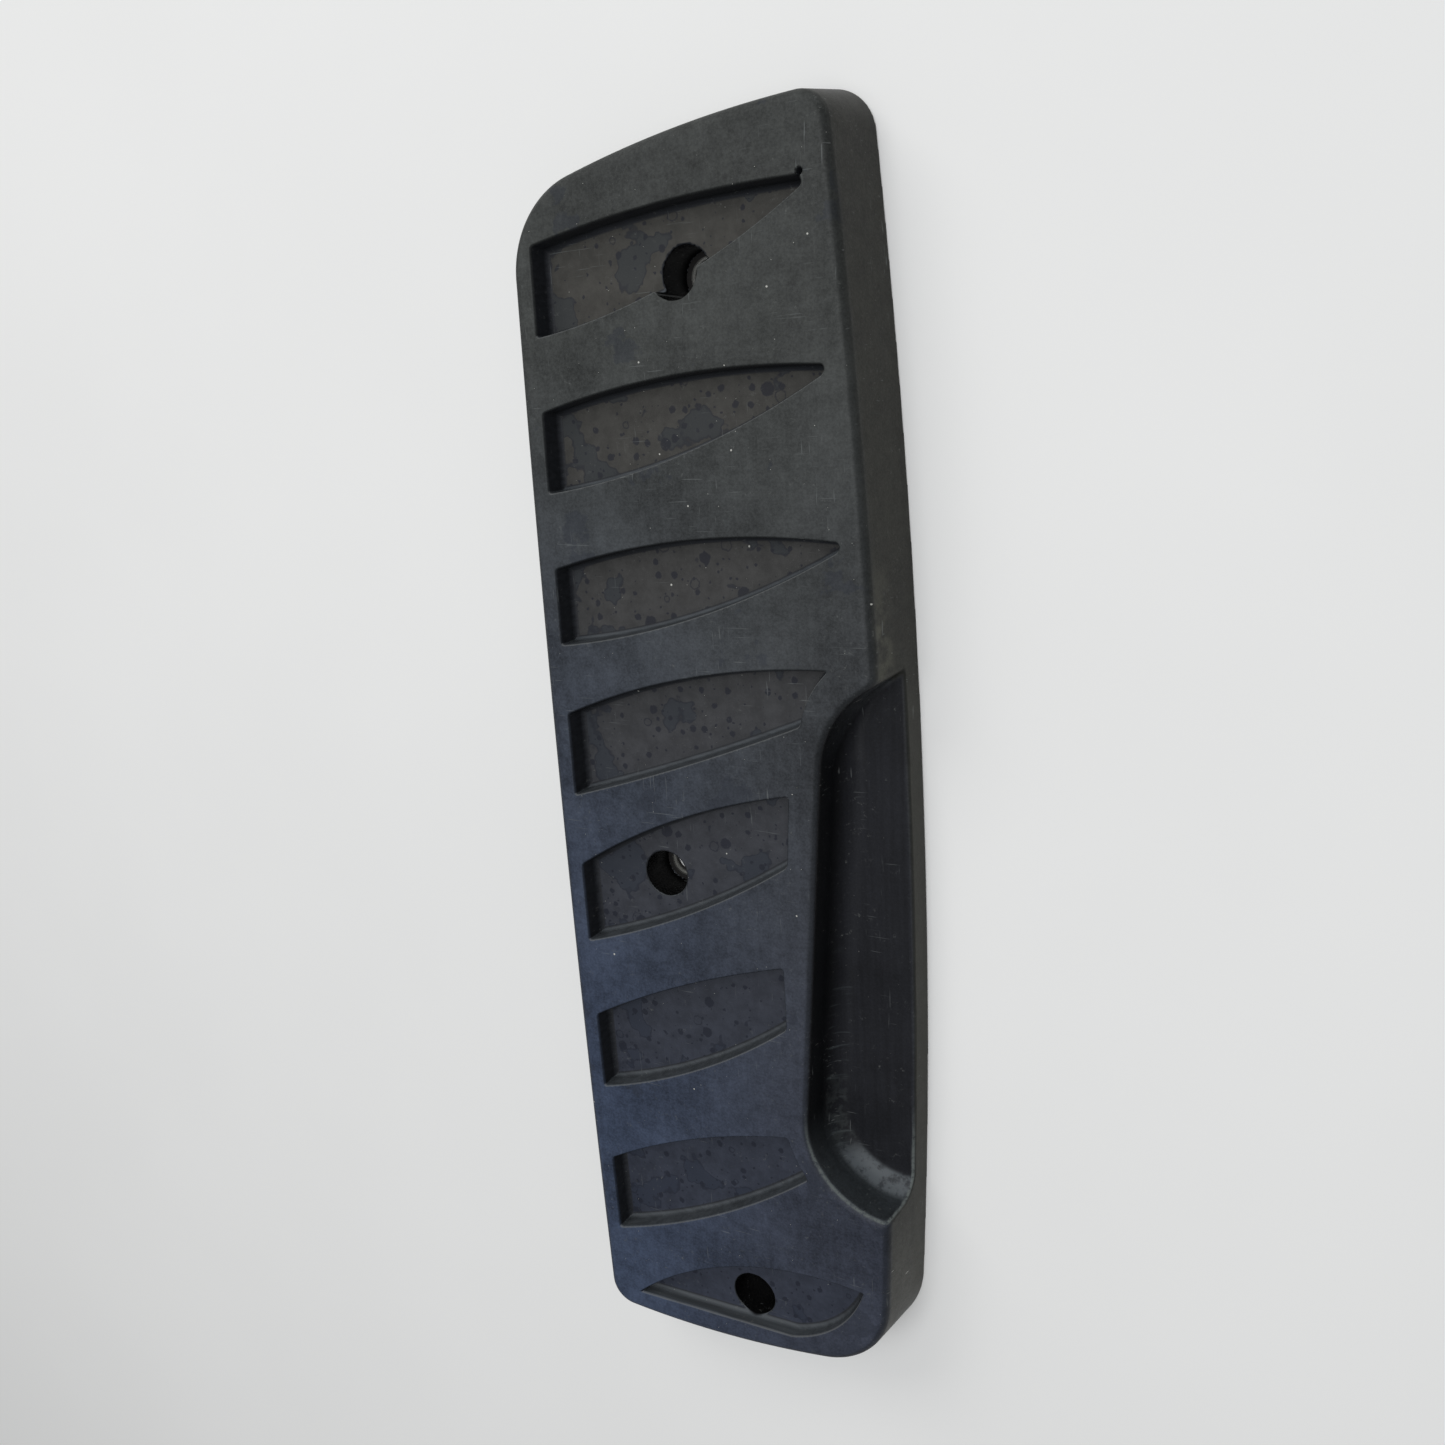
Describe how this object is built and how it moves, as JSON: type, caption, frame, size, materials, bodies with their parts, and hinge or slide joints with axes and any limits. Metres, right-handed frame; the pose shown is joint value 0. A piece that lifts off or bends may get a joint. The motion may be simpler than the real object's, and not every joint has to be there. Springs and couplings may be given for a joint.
{
  "type": "rubber speed bump",
  "caption": "Long moulded rubber traffic pad with curved tread recesses, a side scoop and counterbored screw holes seated on steel bushes.",
  "frame": {"origin": "middle of the flat back, which lies on the surface the pad is screwed to", "axes": "+X across the pad towards the side with the scoop, +Y along its length, +Z out of the patterned face"},
  "size_m": [0.152, 0.4982, 0.031],
  "materials": {
    "black_rubber": "moulded satin rubber, water-marked in the recesses",
    "plate_steel": "blasted mild steel, bonded",
    "bush_steel": "zinc-plated, dulled"
  },
  "bodies": {
    "root": {"rubber_body": "black_rubber", "reinforcing_plate": "plate_steel", "seat_bush_upper": "bush_steel", "seat_bush_middle": "bush_steel", "seat_bush_lower": "bush_steel"}
  },
  "joints": []
}
